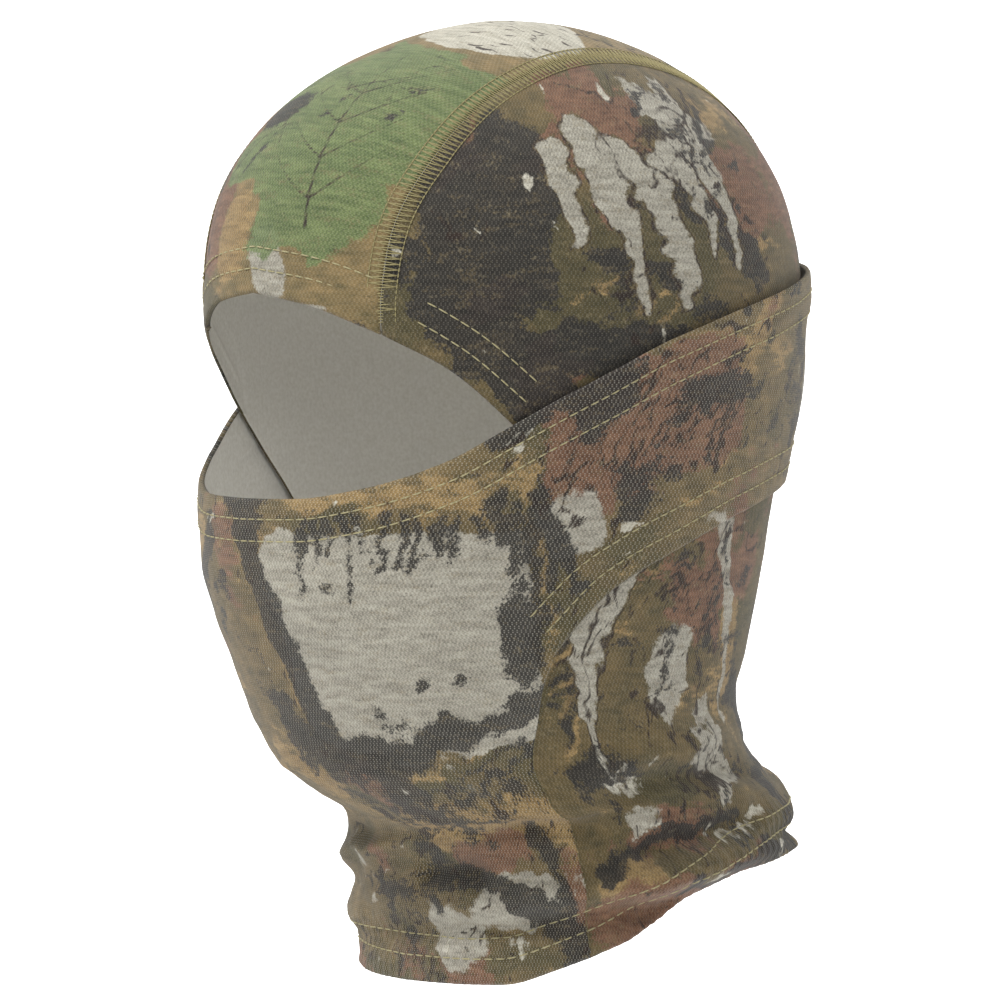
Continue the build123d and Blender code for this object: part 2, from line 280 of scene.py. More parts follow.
def twig(x, y, x0, y0, turn, size, width=0.8, depth=3, seed=0):
    """A branching twig."""
    rng = np.random.default_rng(seed + depth * 31)
    x1, y1 = x0 + size * np.cos(np.radians(turn)), y0 + size * np.sin(np.radians(turn))
    d = stroke(x, y, x0, y0, x1, y1, width, width * 0.6, rng.uniform(-1.5, 1.5))
    if depth:
        for side in (-1, 1):
            t = rng.uniform(0.35, 0.95)
            d = np.minimum(d, twig(x, y, x0 + (x1 - x0) * t, y0 + (y1 - y0) * t,
                                   turn + side * rng.uniform(25, 60), size * rng.uniform(0.45, 0.75),
                                   width * 0.7, depth - 1, seed * 3 + side + 7))
    return d


FAR = 99.0
INKS = ("olive", "rust", "cream", "green", "dark", "gold", "line", "pale")


def inks(x, y, seed):
    """Ink layers with nothing printed yet, and a scattering over the whole cloth."""
    out = {k: np.full(np.shape(x), FAR) for k in INKS}
    streak = fbm(x * 0.45, y * 1.5, 16, seed + 1)
    out["olive"] = 1.5 - 7 * fbm(x * 0.7, y * 1.2, 22, seed + 2) + 1.2 * streak
    out["rust"] = 4.2 - 11 * fbm(x, y, 30, seed + 3)
    out["dark"] = 4.0 - 10 * fbm(x * 0.8 + y * 0.3, y, 24, seed + 4) + 2.0 * streak
    out["cream"] = 6.5 - 12 * fbm(x, y, 26, seed + 5)
    out["gold"] = 3.6 - 8 * fbm(x * 0.5 + y * 0.3, y * 1.3, 18, seed + 6)
    out["pale"] = 6.4 - 9.5 * fbm(x, y * 0.8, 8, seed + 7)
    patchy = 7 * np.maximum(0.1 + noise(x, y, 24, seed + 9), 0)
    out["line"] = 11 * np.abs(fbm(x, y * 1.3, 11, seed + 8, 3)) - 0.45 + patchy
    return out


def warp(x, y, seed):
    """The cloth point that is looked up, shifted so that no shape has a drawn edge."""
    dx = 4.2 * fbm(x, y, 15, seed) + 1.3 * noise(x, y, 3.4, seed + 1)
    dy = 4.2 * fbm(x, y, 15, seed + 2) + 1.3 * noise(x, y, 3.4, seed + 3)
    return x + dx, y + dy


def add(out, ink, d):
    out[ink] = np.minimum(out[ink], d)


def keep(out, d, *names):
    """Clears some inks inside a shape."""
    for k in names or INKS:
        out[k] = np.maximum(out[k], -d)


def block(x, y, cx, cy, hx, hy, turn=0, r=6):
    """A rectangle with round corners."""
    u, v = place(x, y, cx, cy, turn)
    u, v = np.abs(u) - hx + r, np.abs(v) - hy + r
    return np.hypot(np.maximum(u, 0), np.maximum(v, 0)) + np.minimum(np.maximum(u, v), 0) - r


# ---------------------------------------------------------------- meshes

def normals(points, quads):
    a, b, c, d = (points[quads[:, k]] for k in range(4))
    n = np.cross(c - a, d - b)
    out = np.zeros_like(points)
    for k in range(4):
        np.add.at(out, quads[:, k], n)
    return out / np.maximum(np.linalg.norm(out, axis=1, keepdims=True), 1e-12)


def grid_quads(ids):
    """The quads between neighbours in a grid of vertex numbers."""
    return np.stack([ids[:-1, :-1], ids[:-1, 1:], ids[1:, 1:], ids[1:, :-1]], -1).reshape(-1, 4)


def shell(name, points, quads, uv, ink, thickness, outward, skins):
    """A closed sheet of cloth: printed outer skin, plain inner skin and a rim."""
    n = normals(points, quads)
    if np.sum(n * outward) < 0:
        quads, n = quads[:, ::-1], -n
    count = len(points)
    inner = points - n * thickness[:, None]
    edges = np.concatenate([quads[:, (k, (k + 1) % 4)] for k in range(4)])
    key = edges[:, 0] * count + edges[:, 1]
    back = edges[:, 1] * count + edges[:, 0]
    rim = edges[~np.isin(key, back)]
    rim_quads = np.stack([rim[:, 1], rim[:, 0], rim[:, 0] + count, rim[:, 1] + count], -1)
    faces = np.concatenate([quads, quads[:, ::-1] + count, rim_quads])
    verts = np.concatenate([points, inner]) * MM
    mesh = bpy.data.meshes.new(name)
    mesh.vertices.add(len(verts))
    mesh.vertices.foreach_set("co", verts.astype(np.float32).ravel())
    mesh.loops.add(len(faces) * 4)
    mesh.loops.foreach_set("vertex_index", faces.astype(np.int32).ravel())
    mesh.polygons.add(len(faces))
    mesh.polygons.foreach_set("loop_start", np.arange(0, len(faces) * 4, 4, dtype=np.int32))
    mesh.polygons.foreach_set("loop_total", np.full(len(faces), 4, np.int32))
    mesh.update(calc_edges=True)
    mesh.validate()
    mesh.polygons.foreach_set("use_smooth", np.ones(len(faces), bool))
    index = np.zeros(len(faces), np.int32)
    index[len(quads):2 * len(quads)] = 1
    mesh.polygons.foreach_set("material_index", index)
    layer = mesh.uv_layers.new(name="UVMap")
    both = np.concatenate([uv, uv])
    layer.data.foreach_set("uv", both[faces.ravel()].astype(np.float32).ravel())
    for k, values in ink.items():
        attribute = mesh.attributes.new("ink_" + k, "FLOAT", "POINT")
        clipped = np.clip(np.concatenate([values, values]), -20, 20)
        attribute.data.foreach_set("value", clipped.astype(np.float32))
    for skin in skins:
        mesh.materials.append(skin)
    o = bpy.data.objects.new(name, mesh)
    bpy.context.collection.objects.link(o)
    return o


def tubes(name, paths, radius, material, sides=6):
    """Many short threads as one mesh; each path is an array of points in mm."""
    verts, faces, at = [], [], 0
    ring = np.arange(sides) * 2 * np.pi / sides
    for path in paths:
        path = np.asarray(path, float)
        n = len(path)
        tangent = np.gradient(path, axis=0)
        tangent /= np.maximum(np.linalg.norm(tangent, axis=1, keepdims=True), 1e-9)
        ref = np.array([0, 0, 1.0]) if abs(tangent[0][2]) < 0.9 else np.array([1.0, 0, 0])
        a = np.cross(tangent, ref)
        a /= np.linalg.norm(a, axis=1, keepdims=True)
        b = np.cross(tangent, a)
        swell = np.full(n, radius)
        swell[0] = swell[-1] = radius * 0.55
        rings = path[:, None] + swell[:, None, None] * (
            a[:, None] * np.cos(ring)[None, :, None] + b[:, None] * np.sin(ring)[None, :, None])
        verts.append(rings.reshape(-1, 3))
        ids = at + np.arange(n * sides).reshape(n, sides)
        nxt = np.roll(ids, -1, axis=1)
        faces += np.stack([ids[:-1], nxt[:-1], nxt[1:], ids[1:]], -1).reshape(-1, 4).tolist()
        faces.append(ids[0].tolist()[::-1])
        faces.append(ids[-1].tolist())
        at += n * sides
    mesh = bpy.data.meshes.new(name)
    mesh.from_pydata((np.concatenate(verts) * MM).tolist(), [], faces)
    mesh.polygons.foreach_set("use_smooth", np.ones(len(mesh.polygons), bool))
    mesh.materials.append(material)
    o = bpy.data.objects.new(name, mesh)
    bpy.context.collection.objects.link(o)
    return o


# ---------------------------------------------------------------- materials

def rgb(text):
    v = np.array([int(text[i:i + 2], 16) for i in (0, 2, 4)]) / 255
    return (*np.where(v <= 0.04045, v / 12.92, ((v + 0.055) / 1.055) ** 2.4), 1.0)


class Nodes:
    """Short calls for building a shader."""

    def __init__(self, name):
        self.material = bpy.data.materials.new(name)
        self.material.use_nodes = True
        self.tree = self.material.node_tree
        self.tree.nodes.clear()
        self.out = self.tree.nodes.new("ShaderNodeOutputMaterial")
        self.skin = self.tree.nodes.new("ShaderNodeBsdfPrincipled")
        self.tree.links.new(self.skin.outputs[0], self.out.inputs[0])

    def put(self, socket, value):
        if isinstance(value, bpy.types.NodeSocket):
            self.tree.links.new(value, socket)
        else:
            socket.default_value = value

    def math(self, kind, a, b=0.0, c=0.0, clamp=False):
        node = self.tree.nodes.new("ShaderNodeMath")
        node.operation, node.use_clamp = kind, clamp
        for socket, value in zip(node.inputs, (a, b, c)):
            self.put(socket, value)
        return node.outputs[0]

    def mix(self, factor, a, b):
        node = self.tree.nodes.new("ShaderNodeMix")
        node.data_type = "RGBA"
        for key, value in ((0, factor), (6, a), (7, b)):
            self.put(node.inputs[key], value)
        return node.outputs[2]

    def attribute(self, name, output=2):
        node = self.tree.nodes.new("ShaderNodeAttribute")
        node.attribute_name = name
        return node.outputs[output]

    def stretch(self, vector, scale):
        node = self.tree.nodes.new("ShaderNodeVectorMath")
        node.operation = "MULTIPLY"
        self.put(node.inputs[0], vector)
        node.inputs[1].default_value = scale
        return node.outputs[0]

    def noise(self, vector, scale, detail=3.0):
        """Noise centred on zero, about -0.3 to 0.3."""
        node = self.tree.nodes.new("ShaderNodeTexNoise")
        self.put(node.inputs["Vector"], vector)
        node.inputs["Scale"].default_value = scale
        node.inputs["Detail"].default_value = detail
        return self.math("SUBTRACT", node.outputs[0], 0.5)


# ink: two colours, softness of its edge in mm, raggedness
COLOURS = {
    "olive": ("5a5236", "3d3922", 1.6, 10.0),
    "gold": ("a48a5c", "735d3a", 1.5, 10.0),
    "rust": ("83604a", "573c2d", 1.2, 9.0),
    "cream": ("b5b1a3", "858175", 0.9, 4.5),
    "green": ("748353", "465832", 1.1, 6.0),
    "dark": ("34312d", "191817", 1.0, 8.0),
    "pale": ("cbc7b8", "9d998a", 0.8, 3.0),
    "line": ("2e2018", "1d1512", 0.45, 0.9),
}


def cloth_material(name, base, seed, specks):
    """Printed knit: the cloth's own colour, the inks, bark and tan overprint, then the knit's pale holes
    and painted shade in its dips.
    """
    n = Nodes(name)
    at = n.attribute("cloth_mm", 1)
    shifted = n.tree.nodes.new("ShaderNodeVectorMath")
    shifted.operation = "ADD"
    n.put(shifted.inputs[0], at)
    shifted.inputs[1].default_value = (seed * 31.0, seed * 17.0, seed * 7.0)
    at = shifted.outputs[0]
    coarse = n.noise(at, 0.16, 4.0)
    grain = n.noise(at, 1.1, 3.0)
    streak = n.noise(n.stretch(at, (0.35, 1.6, 1.0)), 0.35, 5.0)
    fleck = n.noise(n.stretch(at, (1.0, 0.6, 1.0)), 2.4, 2.0)
    tone = n.math("MULTIPLY_ADD", n.math("ADD", streak, coarse), 1.6, 0.5, clamp=True)
    colour = n.mix(tone, rgb(base[0]), rgb(base[1]))
    for ink, (light, deep, soft, rag) in COLOURS.items():
        d = n.attribute("ink_" + ink)
        wobble = n.math("MULTIPLY", n.math("ADD", grain, n.math("ADD", coarse, streak)), rag * 0.55)
        d = n.math("MULTIPLY_ADD", fleck, rag * 0.28, n.math("ADD", d, wobble))
        factor = n.math("MULTIPLY_ADD", d, -1.0 / soft, 0.5, clamp=True)
        inner = n.math("ADD", streak, n.math("MULTIPLY", fleck, 0.8))
        inner = n.math("MULTIPLY_ADD", inner, 1.9, 0.5, clamp=True)
        colour = n.mix(n.math("MULTIPLY", factor, 0.94), colour, n.mix(inner, rgb(light), rgb(deep)))
    bark = n.noise(n.stretch(at, (0.45, 2.2, 1.0)), 1.0, 4.0)
    bark = n.math("ADD", bark, n.math("MULTIPLY", fleck, 0.7))
    bark = n.math("MULTIPLY_ADD", bark, 2.6, -0.12, clamp=True)
    colour = n.mix(n.math("MULTIPLY", bark, 0.66), colour, rgb("241e18"))
    tan = n.noise(n.stretch(at, (0.5, 1.5, 1.0)), 0.24, 5.0)
    tan = n.math("ADD", tan, n.math("MULTIPLY", grain, 0.8))
    tan = n.math("MULTIPLY_ADD", tan, 5.0, -0.35, clamp=True)
    colour = n.mix(n.math("MULTIPLY", tan, 0.36), colour, rgb("78694a"))
    glow = n.math("ADD", n.noise(at, 0.55, 4.0), n.math("MULTIPLY", fleck, -0.5))
    glow = n.math("MULTIPLY_ADD", glow, 2.6, -0.25, clamp=True)
    colour = n.mix(n.math("MULTIPLY", glow, 0.30), colour, rgb("b7ab8c"))
    split = n.tree.nodes.new("ShaderNodeSeparateXYZ")
    n.put(split.inputs[0], n.attribute("cloth_mm", 1))
    row = n.math("MULTIPLY", split.outputs[1], 2 * np.pi / 1.15)
    column = n.math("MULTIPLY", split.outputs[0], 2 * np.pi / 1.3)
    shift = n.math("MULTIPLY", n.math("SIGN", n.math("SINE", n.math("MULTIPLY", row, 0.5))), np.pi / 2)
    knit = n.math("MULTIPLY", n.math("SINE", row), n.math("SINE", n.math("ADD", column, shift)))
    knit = n.math("ADD", knit, n.math("MULTIPLY", fleck, 0.9))
    hole = n.math("MULTIPLY_ADD", knit, 2.2, -0.9, clamp=True)
    colour = n.mix(n.math("MULTIPLY", hole, specks), colour, rgb("d8d4c6"))
    # painted shade: the knit's low points, the dips of its bump, are darkened toward near black
    shade = n.math("MULTIPLY_ADD", knit, -1.6, -0.6, clamp=True)
    colour = n.mix(n.math("MULTIPLY", shade, 0.30), colour, rgb("1d1b18"))
    n.put(n.skin.inputs["Base Color"], colour)
    n.skin.inputs["Roughness"].default_value = 0.82
    n.skin.inputs["Specular IOR Level"].default_value = 0.22
    n.skin.inputs["Sheen Weight"].default_value = 0.12
    n.skin.inputs["Sheen Roughness"].default_value = 0.6
    bump = n.tree.nodes.new("ShaderNodeBump")
    bump.inputs["Strength"].default_value = 0.5
    bump.inputs["Distance"].default_value = 0.00022
    n.put(bump.inputs["Height"], knit)
    n.put(n.skin.inputs["Normal"], bump.outputs[0])
    return n.material


def plain_material(name, light, deep, scale, roughness):
    n = Nodes(name)
    place_node = n.tree.nodes.new("ShaderNodeTexCoord")
    grain = n.noise(place_node.outputs["Object"], scale, 3.0)
    tone = n.math("MULTIPLY_ADD", grain, 2.0, 0.5, clamp=True)
    n.put(n.skin.inputs["Base Color"], n.mix(tone, rgb(light), rgb(deep)))
    n.skin.inputs["Roughness"].default_value = roughness
    n.skin.inputs["Specular IOR Level"].default_value = 0.2
    return n.material


crown_skin = cloth_material("crown_print", ("8e7850", "5f5536"), 1, 0.10)
side_skin = cloth_material("side_print", ("6f5e3c", "4a432b"), 2, 0.10)
cover_skin = cloth_material("cover_print", ("7d6a46", "50472f"), 3, 0.30)
lining = plain_material("cloth_inside", "f4f2ec", "e2dfd6", 900.0, 0.9)
thread = plain_material("khaki_thread", "b3ab88", "8f8763", 1500.0, 0.7)
crown_thread = plain_material("dusty_thread", "a1986f", "7d7450", 1500.0, 0.7)
seam_thread = plain_material("olive_thread", "827a5a", "5d563c", 1500.0, 0.75)


# ---------------------------------------------------------------- print of each cloth

def dashes(out, x, y, ink, rows, seed, length, width, turn):
    """Short broken bark marks: rows of (x, y, how many, spread along, spread across)."""
    rng = np.random.default_rng(seed)
    for cx, cy, count, sx, sy in rows:
        for _ in range(count):
            px, py = cx + rng.uniform(-sx, sx), cy + rng.uniform(-sy, sy)
            a = np.radians(turn + rng.uniform(-18, 18))
            size, w = length * rng.uniform(0.5, 1.3), width * rng.uniform(0.5, 1.3)
            add(out, ink, stroke(x, y, px, py, px + size * np.cos(a), py + size * np.sin(a), w, w * 0.35,
                                 rng.uniform(-1, 1)))


def draw(out, x, y, rough, marks):
    """Adds marks in order: rows of (ink, shape, its numbers, how ragged its edge is)."""
    for ink, shape, numbers, ragged in marks:
        add(out, ink, shape(x, y, *numbers) + ragged * rough)


def print_side(angle, z, s=1):
    x, y = warp(angle * DEGREE * s, z, 51)
    out = inks(x, y, 11 if s > 0 else 23)
    rough = 3.0 * fbm(x, y, 12, 2)
    # upper side: bark mass, rust leaf, pale leaf fingers
    keep(out, block(x, y, 100, 15, 62, 62) + rough, "cream", "rust", "gold")
    draw(out, x, y, rough, [
        ("olive", blob, (118, 8, 34, 26, 10), 1), ("dark", blob, (80, 16, 20, 40, -14), 1.6),
        ("dark", stroke, (62, 60, 96, -30, 16, 20, -8), 1.4), ("dark", blob, (112, -14, 30, 7, 8), 1.3),
        ("dark", stroke, (110, 18, 136, 8, 8, 5), 1.5), ("dark", stroke, (140, 34, 170, 10, 10, 14), 1.5),
        ("rust", leaf, (122, 54, 34, 205, 6), 0.7), ("rust", leaf, (66, 44, 15, 60, 5), 0.7),
        ("rust", blob, (80, 0, 10, 7, 30), 1), ("rust", blob, (168, 34, 20, 14, 30), 1),
        ("rust", leaf, (96, -24, 15, 20, 5), 0.6), ("line", twig, (60, 36, 40, 16, 0.8, 3, 4), 0),
        ("line", twig, (106, 66, -10, 30, 0.9, 4, 9), 0), ("cream", leaf, (154, 54, 23, 215, 5), 0.5),
        ("line", veins, (154, 54, 22, 215, 5, 0.9), 0)])
    dashes(out, x, y, "dark", [(152, 52, 12, 14, 12)], 43, 9, 3.0, 40)
    for x0, y0, x1, y1, w in ((112, 50, 126, 0, 14), (126, 46, 140, -2, 13), (100, 44, 106, 18, 9),
                              (140, 44, 150, 14, 11), (154, 40, 160, 12, 9)):
        keep(out, stroke(x, y, x0, y0, x1, y1, w + 1, 4, 3), "dark", "rust", "olive")
        add(out, "cream", stroke(x, y, x0, y0, x1, y1, w, 2.5, 3) + 0.25 * rough)
        add(out, "line", np.abs(stroke(x, y, x0, y0, x1, y1, w + 1, 3.5, 3) + 0.25 * rough) - 0.35)
    dashes(out, x, y, "dark", [(150, 38, 8, 8, 16), (84, 40, 6, 14, 10)], 3, 5, 2.2, 60)
    dashes(out, x, y, "gold", [(78, 14, 10, 14, 30), (118, 0, 8, 20, 8)], 5, 9, 2.0, 35)
    # back of the head
    draw(out, x, y, rough, [
        ("rust", leaf, (214, 40, 26, 120, 6), 0.7), ("cream", leaf, (244, 8, 20, 60, 5), 0.5),
        ("line", veins, (244, 8, 18, 60), 0)])
    # neck: striped bark, feathery pale leaf, curled rust leaf
    for x0, y0 in ((103, -96), (103, -104), (103, -113), (102, -121), (101, -129)):
        add(out, "dark", stroke(x, y, x0, y0, x0 + 15, y0 + 9, 3.4, 1.4, 1.5) + 0.4 * rough)
        add(out, "gold", stroke(x, y, x0, y0 - 4, x0 + 15, y0 + 5, 2.4, 1.0, 1.5) + 0.4 * rough)
    keep(out, stroke(x, y, 124, -78, 112, -136, 17, 5, -3), "dark", "rust", "olive", "gold")
    draw(out, x, y, rough, [
        ("cream", stroke, (124, -78, 112, -136, 15, 3, -3), 0.3),
        ("line", stroke, (124, -80, 112, -134, 0.9, 0.6, -3), 0)])
    add(out, "line", np.abs(stroke(x, y, 124, -78, 112, -136, 16, 4, -3) + 0.3 * rough) - 0.35)
    draw(out, x, y, rough, [
        ("rust", leaf, (158, -92, 24, 70, 6), 0.6), ("line", twig, (140, -88, 20, 26, 1.2, 4, 12), 0),
        ("line", twig, (158, -124, 95, 24, 1.1, 4, 15), 0)])
    keep(out, blob(x, y, 144, -112, 9, 15, -14), "rust", "olive", "gold", "dark")
    draw(out, x, y, rough, [("cream", blob, (144, -112, 8.5, 15, -14), 0.4)])
    dashes(out, x, y, "dark", [(143, -110, 7, 5, 10)], 8, 5, 2.4, 40)
    draw(out, x, y, rough, [
        ("dark", blob, (112, -140, 17, 5, 12), 1), ("olive", blob, (128, -146, 18, 6, 0), 1),
        ("cream", leaf, (158, -140, 17, -30, 5), 0.5), ("line", veins, (158, -140, 16, -30, 4, 0.8), 0),
        ("gold", blob, (178, -104, 8, 24, 10), 1), ("cream", stroke, (166, -68, 176, -128, 8, 4, 4), 0.6)])
    dashes(out, x, y, "dark", [(160, -96, 14, 16, 22), (128, -164, 16, 34, 8)], 47, 8, 2.2, 70)
    dashes(out, x, y, "pale", [(140, -166, 10, 34, 10), (118, -142, 6, 12, 6)], 53, 6, 1.8, 15)
    draw(out, x, y, rough, [
        ("rust", blob, (122, -160, 24, 7, 6), 1), ("cream", blob, (112, -156, 8, 5, 0), 0.6),
        ("dark", stroke, (96, -170, 160, -158, 6, 4, 3), 1), ("rust", block, (130, -182, 40, 9, 8), 1),
        ("dark", stroke, (128, -176, 190, -166, 7, 5, -2), 1), ("gold", blob, (104, -178, 12, 10, 20), 1)])
    dashes(out, x, y, "line", [(130, -150, 16, 36, 34), (190, -120, 14, 50, 40)], 13, 6, 0.9, 20)
    return out


def print_crown(x, y):
    out = inks(x, y, 5)
    rough = 3.0 * fbm(x, y, 12, 8)
    keep(out, block(x, y, 12, 66, 46, 66, 0, 20) + rough)
    draw(out, x, y, rough, [
        ("green", leaf, (16, 58, 66, 96, 7, 0.30), 0.9), ("green", blob, (18, 22, 20, 12, 10), 1),
        ("green", leaf, (12, 96, 34, 60, 5), 1)])
    add(out, "olive", stroke(x, y, 2, 30, 30, 112, 9, 3, 5) + 2.2 * rough + 2)
    draw(out, x, y, rough, [("rust", blob, (-32, 34, 13, 30, 8), 1)])
    keep(out, blob(x, y, -14, 20, 9, 15, -10), "green", "rust", "dark")
    draw(out, x, y, rough, [("gold", blob, (-14, 20, 9, 15, -10), 0.6)])
    keep(out, blob(x, y, 14, 8, 9, 9, 0), "green", "rust")
    draw(out, x, y, rough, [
        ("cream", blob, (6, 12, 7, 12, 20), 0.7), ("dark", blob, (-18, 66, 10, 9, 20), 0.8)])
    add(out, "olive", blob(x, y, 30, 50, 6, 26, -14) + 2.0 * rough + 1)
    add(out, "olive", blob(x, y, 4, 92, 8, 18, 30) + 2.0 * rough + 1)
    dashes(out, x, y, "olive", [(16, 56, 26, 24, 44)], 33, 8, 2.0, 70)
    dashes(out, x, y, "dark", [(-20, 60, 8, 8, 24), (16, 84, 6, 20, 30)], 35, 5, 1.6, 60)
    dashes(out, x, y, "gold", [(-26, 40, 14, 12, 36)], 37, 9, 2.6, 80)
    draw(out, x, y, rough, [
        ("gold", blob, (-36, 74, 10, 22, -6), 1), ("line", veins, (14, 62, 44, 98, 4, 0.8), 0),
        ("line", twig, (-38, 10, 78, 30, 0.9, 4, 2), 0), ("line", twig, (4, 74, 30, 26, 0.7, 4, 6), 0),
        ("line", twig, (-6, 50, 120, 24, 0.7, 4, 11), 0)])
    keep(out, blob(x, y, 16, 132, 30, 28, -12) + rough, "green", "rust", "dark", "olive")
    draw(out, x, y, rough, [("pale", blob, (16, 134, 27, 26, -12), 0.8)])
    dashes(out, x, y, "line", [(16, 134, 22, 22, 22)], 21, 4, 1.4, 30)
    draw(out, x, y, rough, [
        ("rust", leaf, (-10, 180, 26, 60, 6), 1), ("cream", leaf, (10, 226, 22, 130, 5), 1),
        ("line", veins, (10, 226, 20, 130), 0)])
    return out


def print_cover(angle, z):
    x, y = warp(angle * DEGREE, z, 71)
    out = inks(x, y, 31)
    rough = 3.0 * fbm(x, y, 12, 6)
    fine = 1.5 * fbm(x, y, 5, 16)
    # left wrap band: rust leaf litter with charcoal bark
    keep(out, block(x, y, 134, -30, 42, 34, 14) + rough, "cream", "olive")
    draw(out, x, y, rough, [
        ("rust", block, (128, -34, 34, 20, 14, 10), 1.2), ("dark", stroke, (84, -40, 112, -22, 6, 8), 1),
        ("dark", blob, (113, -28, 7, 15, -20), 1), ("dark", blob, (150, -26, 14, 5, 4), 1),
        ("dark", stroke, (96, -56, 112, -84, 5, 7), 1), ("gold", stroke, (150, -44, 172, 4, 6, 12), 1),
        ("cream", blob, (108, -66, 10, 9, 10), 1)])
    dashes(out, x, y, "dark", [(130, -36, 14, 26, 16), (176, -20, 12, 20, 24)], 17, 8, 2.4, 60)
    dashes(out, x, y, "gold", [(140, -50, 9, 24, 12), (92, -58, 6, 8, 12)], 19, 10, 2.4, 45)
    draw(out, x, y, rough, [
        ("rust", leaf, (118, -46, 22, 20, 6), 0.7), ("line", veins, (118, -46, 20, 20, 5, 0.9), 0)])
    add(out, "line", np.abs(leaf(x, y, 146, -34, 18, 200, 6) + 0.7 * rough) - 0.5)
    draw(out, x, y, rough, [
        ("line", twig, (150, -50, 60, 26, 1.1, 4, 22), 0),
        ("olive", stroke, (92, -34, 104, -78, 8, 10, 3), 1)])
    dashes(out, x, y, "line", [(134, -36, 26, 34, 22)], 45, 7, 1.0, 30)
    draw(out, x, y, rough, [
        ("cream", leaf, (226, -18, 22, 30, 5), 0.5), ("line", veins, (226, -18, 20, 30), 0)])
    # mask front: pale birch patch framed by bark
    patch = block(x, y, 53, -100, 43, 33, 2, 8)
    keep(out, patch + 0.6 * rough)
    add(out, "cream", patch + 0.5 * rough)
    draw(out, x, y, rough, [
        ("dark", stroke, (2, -64, 15, -130, 9, 12, 2), 1),
        ("gold", stroke, (8, -62, 9, -118, 5, 4, -1), 0.5)])
    add(out, "line", np.abs(stroke(x, y, 8, -62, 9, -118, 6, 5, -1) + 0.4 * rough) - 0.4)
    rng = np.random.default_rng(41)
    for k in range(13):
        px = 24 + 5.4 * k + rng.uniform(-1.5, 1.5)
        size = rng.uniform(6, 20) * (1.2 if k % 3 == 0 else 0.7)
        add(out, "dark", stroke(x, y, px, -62, px + rng.uniform(-1, 3), -66 - size, 3.6, 1.6, 0.6) + fine)
    for px, py, size in ((84, -58, 26), (90, -60, 32), (96, -62, 30)):
        add(out, "dark", stroke(x, y, px, py, px + 9, py - size, 4.5, 2.5, 1) + fine)
        add(out, "gold", stroke(x, y, px - 3, py, px + 6, py - size, 2.4, 1.4, 1) + fine)
    draw(out, x, y, rough, [("dark", blob, (92, -98, 7, 12, 12), 1)])
    for px, py in ((40, -122), (46, -124), (58, -112), (74, -110), (84, -120), (66, -126), (34, -84)):
        add(out, "dark", blob(x, y, px, py, 2.4, 1.3, 20) + 0.5 * fine)
    draw(out, x, y, rough, [
        ("dark", stroke, (12, -136, 98, -114, 13, 6, -5), 1.2),
        ("olive", stroke, (14, -146, 92, -126, 8, 6, -4), 1),
        ("gold", stroke, (16, -142, 92, -122, 3, 2, -5), 0.8)])
    for k in range(4):
        add(out, "dark", stroke(x, y, 20, -148 - 4 * k, 88, -130 - 5 * k, 1.8, 1.0, -3 + k) + 1.2 * fine)
    # chin and throat
    draw(out, x, y, rough, [("gold", block, (52, -156, 34, 9, 4), 1)])
    dashes(out, x, y, "dark", [(60, -152, 22, 26, 8)], 27, 3, 1.4, 10)
    draw(out, x, y, rough, [
        ("rust", blob, (46, -168, 18, 7, 4), 1), ("cream", blob, (58, -182, 20, 9, 6), 1),
        ("cream", blob, (30, -192, 14, 10, -8), 1), ("dark", stroke, (22, -174, 74, -188, 5, 9, 3), 1),
        ("dark", stroke, (66, -160, 84, -200, 5, 8, 2), 1), ("gold", blob, (84, -176, 7, 12, 20), 1)])
    dashes(out, x, y, "line", [(50, -180, 14, 26, 18)], 29, 7, 0.9, 40)
    # right half of the face
    draw(out, x, y, rough, [
        ("rust", leaf, (-52, -92, 30, 200, 6), 0.7), ("cream", leaf, (-128, -40, 24, 20, 5), 0.5),
        ("line", veins, (-128, -40, 22, 20), 0), ("line", veins, (-52, -92, 26, 200), 0),
        ("dark", stroke, (-20, -70, -100, -110, 7, 12, 6), 1.4)])
    return out


# ---------------------------------------------------------------- cloth panels

def along(path, share):
    path = np.asarray(path, float)
    size = np.r_[0, np.cumsum(np.hypot(DEGREE * np.diff(path[:, 0]), np.diff(path[:, 1])))]
    share = np.asarray(share) * size[-1]
    return np.stack([np.interp(share, size, path[:, 0]), np.interp(share, size, path[:, 1])], -1)


def rounded(points, count=80):
    points = np.asarray(points, float)
    marks = np.r_[0, np.cumsum(np.hypot(DEGREE * np.diff(points[:, 0]), np.diff(points[:, 1])))]
    at = np.linspace(0, marks[-1], count)
    return np.stack([smooth(np.c_[marks, points[:, k]], at) for k in (0, 1)], -1)


def beside(path, distance):
    d = np.gradient(np.asarray(path, float), axis=0)
    run, rise = DEGREE * d[:, 0], d[:, 1]
    size = np.hypot(run, rise)
    return path + np.stack([-distance * rise / size / DEGREE, distance * run / size], -1)


def curve(table, start, end, count=400):
    angles = np.linspace(start, end, count)
    return np.stack([angles, smooth(table, np.abs(angles))], -1)


def edge_distance(table, angle, z):
    """Distance of points from a cut edge, in mm."""
    a = np.abs(angle)
    slope = (smooth(table, a + 0.5) - smooth(table, a - 0.5)) / DEGREE
    return (z - smooth(table, a)) / np.sqrt(1 + slope ** 2)


def hem(distance, rows, depth):
    """Relief of a folded hem: a thicker edge, and a dip along each row of stitches."""
    lift = 0.45 * (1 - ease(depth - 0.8, depth + 0.8, distance))
    for row in rows:
        lift = lift - 0.28 * np.exp(-((distance - row) / 0.9) ** 2)
    return lift - 0.5 * (1 - ease(0, 0.9, distance))


